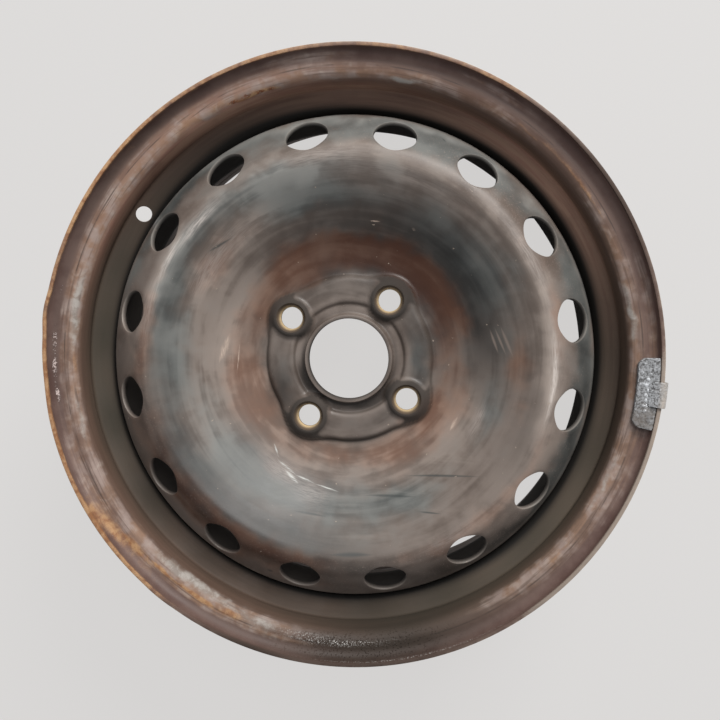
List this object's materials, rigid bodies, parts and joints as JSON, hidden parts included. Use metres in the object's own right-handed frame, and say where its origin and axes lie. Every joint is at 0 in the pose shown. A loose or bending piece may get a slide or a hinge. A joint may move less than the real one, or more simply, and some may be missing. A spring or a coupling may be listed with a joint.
{
  "type": "steel wheel rim",
  "caption": "Dished steel car wheel rim with vent holes, a hub bore with raised bolt seats, a drop well between two flanges and a clip-on balance weight on its outer lip.",
  "frame": {"origin": "on the wheel's axis, in the plane of the face that meets the hub", "axes": "+Z along the wheel's axis towards the outer face, +X to the right and +Y up as the picture shows that face"},
  "size_m": [0.4169, 0.4146, 0.1773],
  "materials": {
    "rim": "worn dark primer with rust and chalky corrosion",
    "disc": "worn semi-gloss black primer, rubbed brown and grey",
    "weld_beads": "painted over, lightly rusted",
    "balance_weight": "oxidised grey casting, pitted",
    "weight_clip": "dull grey spring steel, pitted"
  },
  "bodies": {
    "root": {"rim": "rim", "disc": "disc", "weld_beads": "weld_beads", "balance_weight": "balance_weight", "weight_clip": "weight_clip"}
  },
  "joints": []
}
